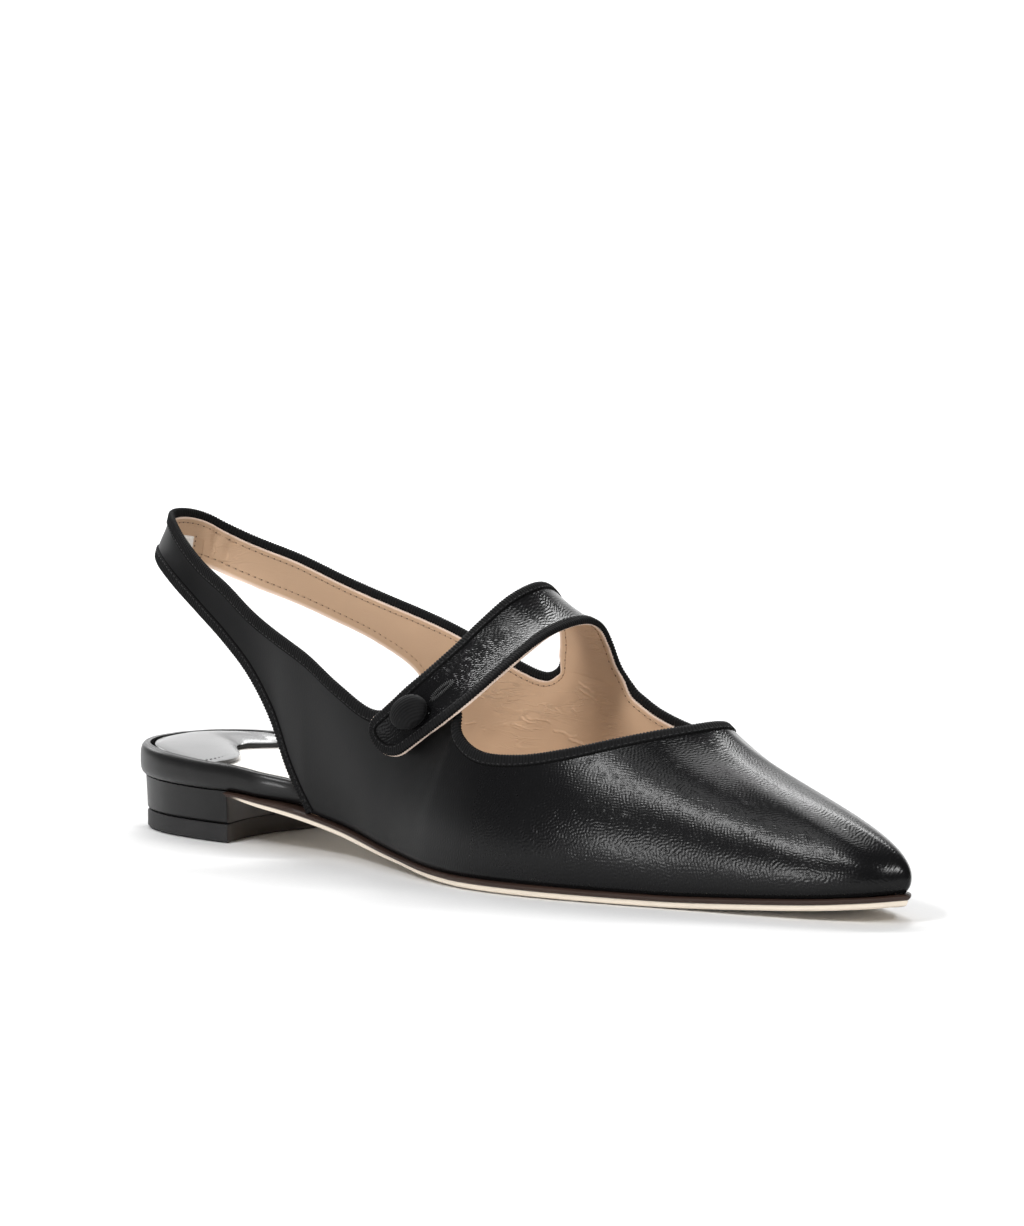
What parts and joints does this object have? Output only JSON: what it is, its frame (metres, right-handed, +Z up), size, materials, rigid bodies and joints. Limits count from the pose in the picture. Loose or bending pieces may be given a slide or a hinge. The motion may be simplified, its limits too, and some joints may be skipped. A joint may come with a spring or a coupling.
{
  "type": "slingback pump",
  "caption": "Pointed slingback pump for the right foot with a buttoned instep strap, ribbon-bound edges, a pale sole and a low block heel.",
  "frame": {"origin": "middle of the bounding box's bottom face, on the floor", "axes": "+X to the toe, +Y to the inner side of the foot, +Z up"},
  "size_m": [0.2582, 0.073, 0.0818],
  "materials": {
    "black_leather": "satin black nappa with a fine grain",
    "black_ribbon": "matt ribbed ribbon",
    "sole_leather": "pale natural sole leather",
    "heel_cover": "smooth black cover",
    "lift_rubber": "matt black",
    "pad_leather": "glossy black",
    "sock_leather": "smooth off-white",
    "elastic_web": "ribbed pale elastic"
  },
  "bodies": {
    "root": {"upper": "black_leather", "binding_topline": "black_ribbon", "binding_sling": "black_ribbon", "outsole": "sole_leather", "heel_block": "heel_cover", "top_lift": "lift_rubber", "insole": "black_leather", "foot_sock": "sock_leather", "heel_pad": "pad_leather", "button": "black_ribbon", "sling_elastic": "elastic_web"}
  },
  "joints": []
}
